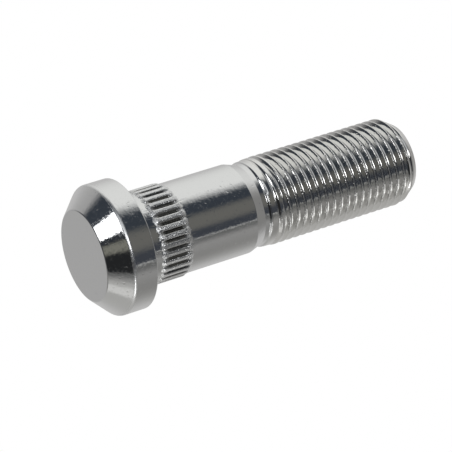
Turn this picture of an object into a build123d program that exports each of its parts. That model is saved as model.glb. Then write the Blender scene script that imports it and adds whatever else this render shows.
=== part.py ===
"""Press-in wheel bolt: one forged, turned and rolled steel piece that stands on its round head.

Z is the axis. The head's outer face lies on the XY plane with its centre at the origin, and the
thread points up. Lengths are millimetres, angles are degrees.
"""
import os
from math import radians, sin, tan

from build123d import *

# Thread, whose standard size gives the scale of the rest
thread_diameter = 16.0
thread_pitch = 1.5

# Lengths along the axis
overall_length = 64.5
head_height = 7.9
head_chamfer = 3.5
neck_length = 2.8
knurl_length = 6.3
knurl_end_slope = 0.7
shank_length = 13.0
taper_length = 1.9
thread_neck_length = 0.8
runout_length = 2.3
end_chamfer_length = 2.5

# Diameters
head_diameter = 23.4
shank_diameter = 16.25
knurl_diameter = 16.9
end_face_diameter = 12.7

# Knurl of straight vee grooves
knurl_teeth = 33
knurl_depth = 0.48
knurl_flank_angle = 45.0
knurl_tip_length = 1.2
knurl_tip_clearance = 0.02

# Rounded and broken edges
face_edge_radius = 0.4
chamfer_edge_radius = 0.5
rim_edge_break = 0.2
neck_fillet = 0.8
shank_edge_radius = 0.4

# Worked out from the sizes above: a rolled thread starts from a blank of its pitch diameter, which lies
# three quarters of a sharp 60 degree thread's height inside its outer diameter
thread_blank_diameter = thread_diameter - 0.75 * thread_pitch * sin(radians(60))
knurl_start = head_height + neck_length
knurl_end = knurl_start + knurl_length
shank_end = knurl_end + shank_length
taper_end = shank_end + taper_length
runout_start = taper_end + thread_neck_length
thread_start = runout_start + runout_length
thread_end = overall_length - end_chamfer_length


def half_section():
    """The turned outline on one side of the axis, from the head's face up to the thread's end."""
    face_corner = (head_diameter / 2 - head_chamfer, 0)
    chamfer_corner = (head_diameter / 2, head_chamfer)
    rim_corner = (head_diameter / 2, head_height)
    neck_corner = (shank_diameter / 2, head_height)
    shank_corner = (shank_diameter / 2, shank_end)
    outline = Polyline(
        (0, 0),
        face_corner,
        chamfer_corner,
        rim_corner,
        neck_corner,
        (shank_diameter / 2, knurl_start),
        (knurl_diameter / 2, knurl_start + knurl_end_slope),
        (knurl_diameter / 2, knurl_end - knurl_end_slope),
        (shank_diameter / 2, knurl_end),
        shank_corner,
        (thread_blank_diameter / 2, taper_end),
        (thread_blank_diameter / 2, runout_start),
        (thread_diameter / 2, thread_start),
        (thread_diameter / 2, thread_end),
        (end_face_diameter / 2, overall_length),
        (0, overall_length),
        close=True,
    )
    section = make_face(outline)
    rounded_corners = (
        (face_corner, face_edge_radius),
        (chamfer_corner, chamfer_edge_radius),
        (neck_corner, neck_fillet),
        (shank_corner, shank_edge_radius),
    )
    for corner, radius in rounded_corners:
        section = fillet(section.vertices().sort_by_distance(corner)[0], radius)
    return chamfer(section.vertices().sort_by_distance(rim_corner)[0], rim_edge_break)


def knurl_groove():
    """A cutter for one vee groove, whose root climbs to the shank at both ends of the knurled band.

    There the groove runs out in a point, so that each ridge beside it ends by itself.
    """
    top_radius = knurl_diameter / 2 + knurl_depth

    def vee(height, root_radius):
        half_width = (top_radius - root_radius) * tan(radians(knurl_flank_angle))
        corners = [(root_radius, 0), (top_radius, half_width), (top_radius, -half_width)]
        return Pos(Z=height) * make_face(Polyline(*corners, close=True))

    deep_root = knurl_diameter / 2 - knurl_depth
    high_root = shank_diameter / 2 + knurl_tip_clearance
    return loft(
        [
            Vertex(top_radius, 0, knurl_start - knurl_tip_clearance),
            vee(knurl_start, high_root),
            vee(knurl_start + knurl_tip_length, deep_root),
            vee(knurl_end - knurl_tip_length, deep_root),
            vee(knurl_end, high_root),
            Vertex(top_radius, 0, knurl_end + knurl_tip_clearance),
        ],
        ruled=True,
    )


def wheel_bolt():
    """The turned blank with its knurl."""
    blank = revolve(Plane.XZ * half_section(), Axis.Z)
    return blank - PolarLocations(0, knurl_teeth) * knurl_groove()


os.makedirs("parts", exist_ok=True)
export_step(wheel_bolt(), "parts/wheel_bolt.step")
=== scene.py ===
"""Looks of a press-in wheel bolt: its turned, knurled and rolled surface, its zinc plate and the studio.

The bolt stands on its head. Z is its axis, and the head's outer face lies on the XY plane. The bolt's
lengths are millimetres up to the last step, which makes a mesh in metres. Angles are degrees.
"""

import bpy
import bmesh
import numpy as np
from mathutils import Matrix


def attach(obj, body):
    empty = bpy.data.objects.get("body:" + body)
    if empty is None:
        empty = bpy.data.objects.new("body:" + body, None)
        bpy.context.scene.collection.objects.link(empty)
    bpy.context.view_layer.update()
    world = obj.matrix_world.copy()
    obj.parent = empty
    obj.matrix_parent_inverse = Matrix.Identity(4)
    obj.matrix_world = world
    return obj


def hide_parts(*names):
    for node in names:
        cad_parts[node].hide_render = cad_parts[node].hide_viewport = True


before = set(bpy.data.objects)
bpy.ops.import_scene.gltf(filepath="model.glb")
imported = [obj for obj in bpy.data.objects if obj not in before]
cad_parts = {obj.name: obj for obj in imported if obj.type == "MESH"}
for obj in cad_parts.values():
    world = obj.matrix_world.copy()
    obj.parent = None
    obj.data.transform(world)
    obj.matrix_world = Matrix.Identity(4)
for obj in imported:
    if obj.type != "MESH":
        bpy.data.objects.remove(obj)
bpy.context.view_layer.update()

MM = 0.001

# Sizes of the turned blank, as in the part's source
head_radius = 11.7
head_height = 7.9
head_chamfer = 3.5
shank_radius = 8.125
shank_end = 30.0
taper_end = 31.9
overall_length = 64.5
end_chamfer_start = 62.0
end_face_radius = 6.35

# Rounded edges of the blank
face_edge = 0.4
chamfer_edge = 0.8
rim_edge = 0.2
neck_fillet = 0.8
shank_edge = 0.4
taper_root = 0.3
shoulder_edge = 0.15
end_edge = 0.3

# How worn those edges are, from 0 to 1
face_wear = 0.3
chamfer_wear = 1.0
rim_wear = 0.6
shank_wear = 0.3
end_wear = 0.6

# Knurl of straight vee grooves with 45 degree sides
knurl_teeth = 33
knurl_radius = 8.45
knurl_depth = 0.48
knurl_middle = 13.85
knurl_half_length = 3.15
knurl_end_slope = 0.7
knurl_finger = 0.3
knurl_groove_tip = 1.2
knurl_tip_clearance = 0.02
knurl_root_rounding = 0.04
knurl_edge_rounding = 0.14

# Heights on the plain shank where the knurl's rows meet the turned ones
below_knurl = 9.3
above_knurl = 18.5

# Rolled thread, which starts at a shoulder. Its flanks slope at 60 degrees to the axis
thread_radius = 8.0
thread_pitch = 1.5
thread_blank_radius = 7.513
shoulder_start = 32.8
shoulder_radius = 7.763
thread_zone_start = 33.2
thread_zone_end = 64.15
runout_start = 33.3
crest_start = 33.4
crest_full = 35.6
root_full = 37.8
flank_slope = 60.0
crest_width = thread_pitch / 8
crest_rounding = 0.07
root_rounding = 0.144 * thread_pitch
thinnest_rounding = 0.001
end_rounding = 0.12
end_slope = (thread_radius - end_face_radius) / (overall_length - end_chamfer_start)

# How broken rolling left the skin, from 0 to 1, with 1 for the knurl's grooves, which the material darkens
# with dirt and painted shade
ridge_skin = 0.8
ridge_edge_skin = 0.3
groove_skin = 1.0
crest_skin = 0.45
root_skin = 0.04

# Where the skin changes on the knurl, in shares of a tooth from a groove's root
skin_leaves_groove = (0.22, 0.30)
skin_reaches_edge = (0.21, 0.27)
skin_leaves_edge = (0.345, 0.40)

# Where the skin begins at the end of a knurl ridge, in millimetres inwards from its tip
skin_reaches_ridge = (-0.2, 0.1)

# Where the skin changes on the thread, in millimetres from a crest's middle
skin_leaves_crest = (0.09, 0.16)
skin_reaches_root = (0.5, 0.6)

# Points of the mesh that are closer than this become one
merge_distance = 0.002

# The photograph's camera, and how far the whole studio is turned round the bolt: eleven knurl teeth
studio_turn = 120.0
camera_lens = 213.5
camera_place = (2.393, -420.40, -181.22)
view_right = (0.30212, -0.42395, 0.85381)
view_up = (-0.95327, -0.13436, 0.27060)
view_forward = (0.0, 0.89566, 0.44473)

# Height of one crest of the thread on the side that faces the camera, and its angle round the axis
crest_near_camera = 48.68
crest_near_camera_angle = studio_turn - 91.0

# Floor, in metres: half its width, how far it lies under the head, and where it fades into white
floor_reach = 3.0
floor_gap = 0.0001
floor_fade = (0.1, 0.5)


def linear(colour):
    """A linear RGBA colour from an sRGB hex value."""
    parts = np.array([int(colour[i : i + 2], 16) for i in (1, 3, 5)]) / 255
    low = parts / 12.92
    high = ((parts + 0.055) / 1.055) ** 2.4
    return (*np.where(parts <= 0.04045, low, high).tolist(), 1.0)


def unit(vectors):
    """Vectors of length one along the last axis."""
    vectors = np.asarray(vectors, float)
    return vectors / np.linalg.norm(vectors, axis=-1, keepdims=True)


def turned_about_z(vector, degrees):
    """The vector, turned about the bolt's axis."""
    return np.array(Matrix.Rotation(np.radians(degrees), 3, "Z")) @ np.asarray(vector, float)


def smooth_min(first, second, width):
    """The lower of two heights, with the corner where they cross rounded over the given width."""
    near = np.clip(1 - np.abs(first - second) / width, 0, None)
    return np.minimum(first, second) - near**2 * width / 4


def smooth_step(low, high, value):
    """From 0 at low to 1 at high along a curve that is level at both ends."""
    share = np.clip((value - low) / (high - low), 0, 1)
    return share * share * (3 - 2 * share)


# Columns of the surface, as shares of a turn: sixteen to a knurl tooth, closest together at its edges
half_tooth = np.array([0.035, 0.15, 0.21, 0.255, 0.30, 0.345, 0.39])
tooth_share = np.concatenate([[0], half_tooth, [0.5], 1 - half_tooth[::-1]])
turn = np.append((np.arange(knurl_teeth)[:, None] + tooth_share).ravel() / knurl_teeth, 1.0)
# Other rows keep every fourth column: the rest fall on the one before them and are merged with it
plain_turn = turn[np.arange(turn.size) // 4 * 4]


def rounded_profile(corners, arc_points=7, margin=0.06):
    """Points (radius, height, wear) along a turned outline.

    Each row of corners is a radius, a height, a rounding and how worn the corner is. Every corner but the
    first and last gives way to an arc that touches both of its sides and carries the wear. One more point,
    unworn, stands just beyond each end of the arc, so that smooth shading leaves the sides straight.
    """
    corners = np.array(corners, float)
    at = corners[1:-1, :2]
    rounding = corners[1:-1, 2:3]
    back = unit(corners[:-2, :2] - at)
    ahead = unit(corners[2:, :2] - at)
    half = np.arccos(np.sum(back * ahead, axis=1, keepdims=True)) / 2
    reach = rounding / np.tan(half)
    centre = at + unit(back + ahead) * rounding / np.sin(half)
    sweep = (np.pi - 2 * half)[:, None]
    share = np.linspace(0, 1, arc_points)[None, :, None]
    start = (at + back * reach - centre)[:, None]
    end = (at + ahead * reach - centre)[:, None]
    spokes = (np.sin((1 - share) * sweep) * start + np.sin(share * sweep) * end) / np.sin(sweep)
    before = (at + back * (reach + margin))[:, None]
    after = (at + ahead * (reach + margin))[:, None]
    runs = np.concatenate([before, centre[:, None] + spokes, after], axis=1)
    wear = np.zeros(runs.shape[:2])
    wear[:, 1:-1] = corners[1:-1, 3:]
    runs = np.concatenate([runs, wear[:, :, None]], axis=2).reshape(-1, 3)
    return np.concatenate([corners[:1, [0, 1, 3]], runs, corners[-1:, [0, 1, 3]]])


def turned_rows(corners):
    """Rows of rings: each point of a rounded outline goes once round the axis."""
    radius, height, wear = rounded_profile(corners).T[:, :, None]
    return np.stack(np.broadcast_arrays(plain_turn, radius, height, wear, 0.0))


def knurl_rows():
    """Rows of the knurl: at each place the lower of a ridge and of the vee groove beside it.

    A ridge stands on the shank and ends in a rounded finger, whose sides end sooner than its middle. A
    groove's radius is its root's plus the distance sideways from the root, and at both ends the root climbs
    to the shank. The skin is broken on the ridges and smoother along their edges. In the grooves it is marked
    for dirt and for painted shade, which the material paints darker.
    """
    # Rows stand close together from just outside a finger's tip to well inside, and far apart between
    tip_rows = np.linspace(-0.4, 1.6, 21) - knurl_half_length
    body_end = knurl_half_length - 2.2
    along = np.concatenate([tip_rows, np.linspace(-body_end, body_end, 5), -tip_rows[::-1]])[:, None]
    to_end = knurl_half_length - np.abs(along)
    share = turn * knurl_teeth
    off_root = np.abs(share - np.round(share))
    finger = to_end - knurl_finger * (1 - 2 * off_root) ** 2
    ridge = shank_radius + smooth_step(0, knurl_end_slope, finger) * (knurl_radius - shank_radius)
    deep = np.clip((to_end - knurl_finger) / knurl_groove_tip, 0, 1)
    high_root = shank_radius + knurl_tip_clearance
    root = high_root - deep * (high_root - knurl_radius + knurl_depth)
    sideways = off_root * 2 * np.pi * knurl_radius / knurl_teeth
    radius = smooth_min(ridge, root + np.hypot(sideways, knurl_root_rounding), knurl_edge_rounding)
    in_groove = (1 - smooth_step(*skin_leaves_groove, off_root)) * deep
    on_edge = (smooth_step(*skin_reaches_edge, off_root) - smooth_step(*skin_leaves_edge, off_root)) * deep
    skin = ridge_skin + (groove_skin - ridge_skin) * in_groove + (ridge_edge_skin - ridge_skin) * on_edge
    skin = skin * smooth_step(*skin_reaches_ridge, finger)
    return np.stack(np.broadcast_arrays(turn, radius, knurl_middle + along, 0.0, skin))


def thread_rows():
    """Rows of the thread and its chamfered end, which follow the helix.

    A row keeps its place across the thread and climbs one pitch in a turn, cut off at the first and last
    height of the zone. Across a groove the surface is an arc at the root, then straight flanks that touch
    the arc, and a flat crest. Over the run-out the groove starts as a fine line behind the shoulder and grows
    deeper, and the flats beside it grow narrower and rise, because rolling pushes metal out of the root and
    into the crest. The end chamfer is a cone, and the lower of cone and thread is kept.
    """
    # Rows from a crest's middle, closest together at its corner and in the arc of the root
    half_row = np.array([0.07, 0.10, 0.13, 0.16, 0.52, 0.57, 0.63, 0.69])
    half_pitch = thread_pitch / 2
    off_crest = np.concatenate([-half_row[::-1], [0], half_row, [half_pitch]])[:, None]
    crest_at_zero = crest_near_camera - thread_pitch * crest_near_camera_angle / 360
    first = np.floor((thread_zone_start - crest_at_zero) / thread_pitch) - 1
    last = np.ceil((thread_zone_end - crest_at_zero) / thread_pitch) + 1
    crest_line = crest_at_zero + thread_pitch * (np.arange(first, last + 1)[:, None, None] + plain_turn)
    grown = smooth_step(crest_start, crest_full, crest_line + off_crest)
    sunk = smooth_step(runout_start, root_full, crest_line + off_crest)
    # Crest and root radius, and how far from the root the flank meets the crest
    steep = np.tan(np.radians(flank_slope))
    full_meeting = half_pitch - crest_width / 2
    full_root = thread_radius - full_meeting * steep + root_rounding
    crest = shoulder_radius + grown * (thread_radius - shoulder_radius)
    root = shoulder_radius + sunk * (full_root - shoulder_radius)
    meeting = (crest - root + root_rounding) / steep
    # Rows of the groove draw together towards its root where it is still narrow
    to_full_root = half_pitch - np.abs(off_crest)
    on_flat = half_pitch - (half_pitch - meeting) * np.abs(off_crest) / (crest_width / 2)
    to_root = np.where(to_full_root > full_meeting, on_flat, to_full_root * meeting / full_meeting)
    arc = root_rounding - np.sqrt(np.clip(root_rounding**2 - to_root**2, 0, None))
    flank = to_root * steep - root_rounding
    arc_end = root_rounding * np.sin(np.radians(flank_slope))
    groove = root + np.where(to_root < arc_end, arc, flank)
    rolled = smooth_min(groove, crest, thinnest_rounding + crest_rounding * sunk)
    height = crest_line + np.sign(off_crest) * (half_pitch - to_root)
    height = np.clip(height, thread_zone_start, thread_zone_end)
    cone = thread_radius - end_slope * (height - end_chamfer_start)
    radius = smooth_min(rolled, cone, end_rounding)
    on_crest = 1 - smooth_step(*skin_leaves_crest, np.abs(off_crest))
    in_root = smooth_step(*skin_reaches_root, np.abs(off_crest))
    skin = (crest_skin * on_crest + root_skin * in_root) * sunk
    rows = np.stack(np.broadcast_arrays(plain_turn, radius, height, 0.0, skin))
    return rows.reshape(len(rows), -1, plain_turn.size)


def bolt_surface():
    """All rows from the centre of the head's face to the centre of the thread's end.

    A row holds five values for each point: its turn, radius and height, how worn its edge is, and how broken
    rolling left its skin. The turned parts are outlines of radius, height, rounding and wear.
    """
    head = [
        (0, 0, 0, 0),
        (head_radius - head_chamfer, 0, face_edge, face_wear),
        (head_radius, head_chamfer, chamfer_edge, chamfer_wear),
        (head_radius, head_height, rim_edge, rim_wear),
        (shank_radius, head_height, neck_fillet, 0),
        (shank_radius, below_knurl, 0, 0),
    ]
    shoulder_end = shoulder_start + shoulder_radius - thread_blank_radius
    shank = [
        (shank_radius, above_knurl, 0, 0),
        (shank_radius, shank_end, shank_edge, shank_wear),
        (thread_blank_radius, taper_end, taper_root, 0),
        (thread_blank_radius, shoulder_start, shoulder_edge, 0),
        (shoulder_radius, shoulder_end, shoulder_edge, 0),
        (shoulder_radius, thread_zone_start, 0, 0),
    ]
    end = [
        (end_face_radius + end_slope * (overall_length - thread_zone_end), thread_zone_end, 0, 0),
        (end_face_radius, overall_length, end_edge, end_wear),
        (0, overall_length, 0, 0),
    ]
    rows = [turned_rows(head), knurl_rows(), turned_rows(shank), thread_rows(), turned_rows(end)]
    return np.concatenate(rows, axis=1)


def closed_mesh(name, rows):
    """A mesh from rows of points: four-sided faces between neighbours, with doubles merged.

    Merging closes the seam where a turn ends, gathers the first and last row to a point on the axis and
    joins the rows that the thread's zone cut off. Wear and skin become attributes for the material.
    """
    around, radius, height, wear, skin = rows
    angle = 2 * np.pi * around
    points = np.stack([radius * np.cos(angle), radius * np.sin(angle), height], axis=-1) * MM
    index = np.arange(radius.size).reshape(radius.shape)
    corners = [index[:-1, :-1], index[:-1, 1:], index[1:, 1:], index[1:, :-1]]
    faces = np.stack(corners, axis=-1).reshape(-1, 4)
    mesh = bpy.data.meshes.new(name)
    mesh.from_pydata(points.reshape(-1, 3).tolist(), [], faces.tolist())
    for label, values in (("edge_wear", wear), ("rolled_roughness", skin)):
        mesh.attributes.new(label, "FLOAT", "POINT").data.foreach_set("value", values.ravel())
    joined = bmesh.new()
    joined.from_mesh(mesh)
    bmesh.ops.remove_doubles(joined, verts=joined.verts, dist=merge_distance * MM)
    joined.to_mesh(mesh)
    joined.free()
    mesh.polygons.foreach_set("use_smooth", np.ones(len(mesh.polygons), bool))
    return mesh


def add_node(tree, kind, inputs=None, **settings):
    """Adds a node. Settings are its own properties, and inputs says what each socket gets.

    That is a value, a colour as an sRGB hex value, or the output that feeds it.
    """
    made = tree.nodes.new(kind)
    for name, value in settings.items():
        setattr(made, name, value)
    for socket, value in (inputs or {}).items():
        if isinstance(value, bpy.types.NodeSocket):
            tree.links.new(value, made.inputs[socket])
        else:
            made.inputs[socket].default_value = linear(value) if isinstance(value, str) else value
    return made


def layered(tree, colour, layers):
    """A colour with other colours laid over it in turn, each by its own share.

    Sockets 6 and 7 are the lower and the upper colour, and output 2 is what shows.
    """
    for share, over in layers:
        inputs = {"Factor": share, 6: colour, 7: over}
        colour = add_node(tree, "ShaderNodeMix", inputs, data_type="RGBA").outputs[2]
    return colour


def weighted_sum(tree, start, parts):
    """The start plus each part times its weight."""
    total = start
    for part, weight in parts:
        inputs = {0: part, 1: weight, 2: total}
        total = add_node(tree, "ShaderNodeMath", inputs, operation="MULTIPLY_ADD").outputs[0]
    return total


def zinc_plated_steel():
    """Bright zinc plate over turned and rolled steel.

    Zinc is a pale, faintly blue metal. The plate is thin, so it keeps the smoothness of the turned surface
    under it: reflections are clear, with edges that a fine grain leaves ragged. Small pits sparkle on the
    plain parts, worn edges shine softly, the knurl and the thread's crests keep the broken skin that rolling
    leaves, and the knurl's grooves are painted darker: partly dirt, partly painted shade deep in them.
    """
    material = bpy.data.materials.new("bright_zinc_plated_steel")
    material.use_nodes = True
    tree = material.node_tree
    tree.nodes.clear()
    place = add_node(tree, "ShaderNodeTexCoord").outputs["Object"]
    wear = add_node(tree, "ShaderNodeAttribute", attribute_name="edge_wear").outputs["Fac"]
    rolled = add_node(tree, "ShaderNodeAttribute", attribute_name="rolled_roughness").outputs["Fac"]
    height = add_node(tree, "ShaderNodeSeparateXYZ", {"Vector": place}).outputs["Z"]
    below_thread = {0: height, 1: thread_zone_start * MM}
    plain = add_node(tree, "ShaderNodeMath", below_thread, operation="LESS_THAN").outputs[0]
    # Rolling draws the skin out sideways, so its pattern is squeezed along the axis
    squeeze = {"Vector": place, "Scale": (1.0, 1.0, 2.5)}
    squeezed = add_node(tree, "ShaderNodeMapping", squeeze).outputs["Vector"]

    # Cloudy patterns from 0 to 1, with their width in millimetres and their detail. The plate's crystals and
    # the cracks of the skin are too fine to show, so grain and skin are drawn coarser than they are
    pattern = {}
    for name, vector, width, detail in (
        ("grain", place, 0.6, 3.0),
        ("skin", squeezed, 0.35, 1.0),
        ("cloud", place, 6.0, 2.0),
        ("knock", place, 0.7, 1.0),
        ("bloom", place, 0.5, 1.0),
    ):
        inputs = {"Vector": vector, "Scale": 1 / (width * MM), "Detail": detail}
        pattern[name] = add_node(tree, "ShaderNodeTexNoise", inputs).outputs["Fac"]

    # Shares that begin at one value and are full at another. Bloom keeps to the plain parts below the thread.
    # The last share marks the knurl's grooves, both for dirt and for painted shade
    share = {}
    for name, value, begin, full, most in (
        ("knock", pattern["knock"], 0.70, 0.78, 1.0),
        ("bloom", pattern["bloom"], 0.50, 0.80, plain),
        ("broken", rolled, 0.62, 0.80, 1.0),
        ("grime_and_shade", rolled, 0.82, 1.00, 1.0),
    ):
        inputs = {"Value": value, "From Min": begin, "From Max": full, "To Max": most}
        share[name] = add_node(tree, "ShaderNodeMapRange", inputs).outputs["Result"]

    # Relief in millimetres. The skin goes up and down by half its depth, less in the knurl's grooves, which
    # dirt fills
    skin_share = weighted_sum(tree, rolled, [(share["grime_and_shade"], -0.75)])
    skin_depth = 0.14
    skin_inputs = {0: pattern["skin"], 1: skin_share}
    skin = add_node(tree, "ShaderNodeMath", skin_inputs, operation="MULTIPLY").outputs[0]
    relief = weighted_sum(
        tree,
        0.0,
        [
            (pattern["grain"], 0.013),
            (skin, skin_depth),
            (skin_share, -skin_depth / 2),
            (share["knock"], -0.014),
        ],
    )
    bump = add_node(tree, "ShaderNodeBump", {"Height": relief, "Strength": 1.0, "Distance": MM})
    # Smooth plate, softer with bloom, on worn edges and on the knurl's skin
    roughness = weighted_sum(
        tree,
        0.05,
        [
            (pattern["cloud"], 0.05),
            (share["bloom"], 0.16),
            (wear, 0.2),
            (share["broken"], 0.22),
            (share["grime_and_shade"], -0.12),
        ],
    )
    # The knurl's grooves get a darker tint: partly dirt, partly painted shade deep in them
    tint = layered(tree, "#EFEFEE", [(plain, "#EDEEEF"), (share["grime_and_shade"], "#8E8D8A")])
    shader = add_node(
        tree,
        "ShaderNodeBsdfPrincipled",
        {"Base Color": tint, "Metallic": 1.0, "Roughness": roughness, "Normal": bump.outputs["Normal"]},
    )
    add_node(tree, "ShaderNodeOutputMaterial", {"Surface": shader.outputs["BSDF"]})
    return material


def make_floor():
    """A pale floor just under the head that fades into the white background.

    It is seen only from above, because the photograph's camera looks up from below it.
    """
    signs = ((-1, -1), (1, -1), (1, 1), (-1, 1))
    corners = [(x * floor_reach, y * floor_reach, -floor_gap) for x, y in signs]
    mesh = bpy.data.meshes.new("floor")
    mesh.from_pydata(corners, [], [(0, 1, 2, 3)])
    material = bpy.data.materials.new("pale_floor")
    material.use_nodes = True
    tree = material.node_tree
    tree.nodes.clear()
    side = add_node(tree, "ShaderNodeNewGeometry")
    pale = add_node(tree, "ShaderNodeBsdfDiffuse", {"Color": "#F4F4F3"})
    clear = add_node(tree, "ShaderNodeBsdfTransparent")
    place = add_node(tree, "ShaderNodeTexCoord").outputs["Object"]
    away = add_node(tree, "ShaderNodeVectorMath", {0: place}, operation="LENGTH").outputs["Value"]
    near, far = floor_fade
    ranged = {"Value": away, "From Min": near, "From Max": far}
    fade = add_node(tree, "ShaderNodeMapRange", ranged, interpolation_type="SMOOTHSTEP").outputs["Result"]
    white = add_node(tree, "ShaderNodeEmission", {"Color": "#FFFFFF", "Strength": 1.0})
    faded = {0: fade, 1: pale.outputs["BSDF"], 2: white.outputs["Emission"]}
    top = add_node(tree, "ShaderNodeMixShader", faded).outputs["Shader"]
    one_sided = {0: side.outputs["Backfacing"], 1: top, 2: clear.outputs["BSDF"]}
    shown = add_node(tree, "ShaderNodeMixShader", one_sided).outputs["Shader"]
    add_node(tree, "ShaderNodeOutputMaterial", {"Surface": shown})
    mesh.materials.append(material)
    floor = bpy.data.objects.new("floor", mesh)
    bpy.context.scene.collection.objects.link(floor)
    floor.visible_glossy = False
    floor.visible_diffuse = False
    floor.visible_transmission = False
    floor.visible_shadow = False


def studio_direction(right, up, forward):
    """A direction in the photograph, turned with the studio into the bolt's frame."""
    mixed = right * np.array(view_right) + up * np.array(view_up) + forward * np.array(view_forward)
    return unit(turned_about_z(mixed, studio_turn))


def make_world():
    """Studio seen in the metal: pale panel above, wall behind and table below, and a dark room in front.

    The room's edge is the panel's front edge above and the table's front edge below. Each is a great circle,
    so the side of it that a direction lies on is the sign of a dot product. The thread points right. The
    camera itself sees plain white.
    """
    world = bpy.data.worlds.new("studio")
    bpy.context.scene.world = world
    world.use_nodes = True
    tree = world.node_tree
    tree.nodes.clear()
    direction = add_node(tree, "ShaderNodeTexCoord").outputs["Generated"]

    def along(axis, low, high, within=1.0):
        """From 0 to 1 as a direction's part along the axis goes from low to high, times the share within."""
        dot = add_node(tree, "ShaderNodeVectorMath", {0: direction, 1: axis}, operation="DOT_PRODUCT")
        ranged = {"Value": dot.outputs["Value"], "From Min": low, "From Max": high, "To Max": within}
        return add_node(tree, "ShaderNodeMapRange", ranged, interpolation_type="SMOOTHSTEP").outputs["Result"]

    right, up, forward = (studio_direction(*axis) for axis in np.eye(3))
    table_edge = studio_direction(0.068, -0.548, 0.801)
    panel_edge = studio_direction(0.204, 0.266, 0.942)

    # Pale side: a table with a bright strip, then wall and panel, dimmer beyond both ends of the bolt
    strip = along(forward, -0.24, -0.1)
    strip = along(-forward, -0.16, -0.06, within=strip)
    strip = along(-up, 0.8, 0.9, within=strip)
    table = layered(tree, "#ACABA8", [(along(right, 0.1, 0.75), "#71706D"), (strip, "#D0CFCC")])
    wall = (along(up, -0.9, -0.35), "#C0BFBE")
    panel = (along(up, 0.35, 1.0), "#E4E4E1")
    beyond_thread = (along(right, 0.55, 0.95), "#838280")
    beyond_head = (along(-right, 0.4, 1.02), "#969594")
    far_beyond_head = (along(-right, 0.82, 0.94), "#3E4043")
    table_corner = (along(studio_direction(-0.70, -0.71, -0.05), 0.93, 0.99), "#767572")
    pale = layered(tree, table, [wall, panel, beyond_thread, beyond_head, far_beyond_head, table_corner])

    # Dark side: the room in front, lighter above the camera, where something pale stands and at the table
    right_half = (along(right, 0.0, 0.7), "#3E4147")
    upper_half = (along(up, -0.3, 0.3), "#363B42")
    right_wall = (along(studio_direction(0.77, 0.2, -0.61), 0.92, 1.0), "#676662")
    ceiling = (along(studio_direction(-0.05, 0.45, -0.89), 0.84, 0.96), "#C4C6C8")
    left_spot = (along(studio_direction(-0.64, -0.24, -0.73), 0.985, 0.998), "#7A7970")
    rail = (along(right, -0.2, 0.2, within=along(table_edge, -0.085, -0.065)), "#A3A3A1")
    table_front = (along(table_edge, -0.05, -0.02), "#666665")
    dark = layered(
        tree, "#242526", [right_half, upper_half, right_wall, ceiling, left_spot, rail, table_front]
    )

    over_edges = {0: along(panel_edge, -0.10, 0.19), 1: along(table_edge, 0.0, 0.28)}
    in_pale = add_node(tree, "ShaderNodeMath", over_edges, operation="MAXIMUM").outputs[0]
    by_camera = add_node(tree, "ShaderNodeLightPath").outputs["Is Camera Ray"]
    shown = layered(tree, dark, [(in_pale, pale), (by_camera, "#FFFFFF")])
    background = add_node(tree, "ShaderNodeBackground", {"Color": shown, "Strength": 1.0})
    add_node(tree, "ShaderNodeOutputWorld", {"Surface": background.outputs["Background"]})


def make_lamp(name, direction, up, distance, width, height, power):
    """A rectangular lamp at a distance from the bolt's middle, facing it, with its height along up.

    Lengths are metres and the power is in watts.
    """
    data = bpy.data.lights.new(name, "AREA")
    data.shape = "RECTANGLE"
    data.size = width
    data.size_y = height
    data.energy = power
    lamp = bpy.data.objects.new(name, data)
    backward = unit(direction)
    side = unit(np.cross(up, backward))
    pose = np.eye(4)
    pose[:3, :3] = np.stack([side, np.cross(backward, side), backward], axis=1)
    pose[:3, 3] = backward * distance + (0, 0, overall_length * MM / 2)
    lamp.matrix_world = Matrix(pose)
    lamp.visible_camera = False
    bpy.context.scene.collection.objects.link(lamp)
    return lamp


def make_lamps():
    """The lamps: three that the metal mirrors, and one overhead that only throws the shadow on the floor."""
    make_lamp(
        "softbox",
        direction=studio_direction(-0.755, 0.205, -0.617),
        up=studio_direction(0, 1, 0),
        distance=1.5,
        width=0.55,
        height=0.48,
        power=2.6,
    )
    make_lamp(
        "front_lamp",
        direction=studio_direction(0.08, 0.02, -0.99),
        up=studio_direction(0, 1, 0),
        distance=1.5,
        width=0.85,
        height=0.4,
        power=4.4,
    )
    make_lamp(
        "low_lamp",
        direction=studio_direction(0.12, -0.95, -0.28),
        up=studio_direction(0, 0.28, -0.95),
        distance=1.5,
        width=0.24,
        height=0.8,
        power=1.8,
    )
    overhead = make_lamp(
        "overhead",
        direction=(0.55, -0.35, 0.76),
        up=(0, 0, 1),
        distance=1.2,
        width=0.6,
        height=0.6,
        power=12.0,
    )
    overhead.visible_glossy = False


def make_camera():
    """The photograph's camera: near the head's face, below the floor's level, looking up along the bolt."""
    data = bpy.data.cameras.new("camera")
    data.sensor_width = 36.0
    data.lens = camera_lens
    data.clip_start = 0.01
    data.clip_end = 20.0
    camera = bpy.data.objects.new("camera", data)
    axes = [unit(view_right), unit(view_up), -unit(view_forward)]
    pose = np.eye(4)
    pose[:3, :3] = np.stack([turned_about_z(axis, studio_turn) for axis in axes], axis=1)
    pose[:3, 3] = turned_about_z(camera_place, studio_turn) * MM
    camera.matrix_world = Matrix(pose)
    bpy.context.scene.collection.objects.link(camera)
    bpy.context.scene.camera = camera


make_camera()
make_world()
make_floor()
make_lamps()

bolt = bpy.data.objects.new("bolt_body", closed_mesh("bolt_body", bolt_surface()))
bolt.data.materials.append(zinc_plated_steel())
bpy.context.scene.collection.objects.link(bolt)
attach(bolt, "root")
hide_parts("wheel_bolt")

bpy.context.scene.view_settings.view_transform = "Standard"
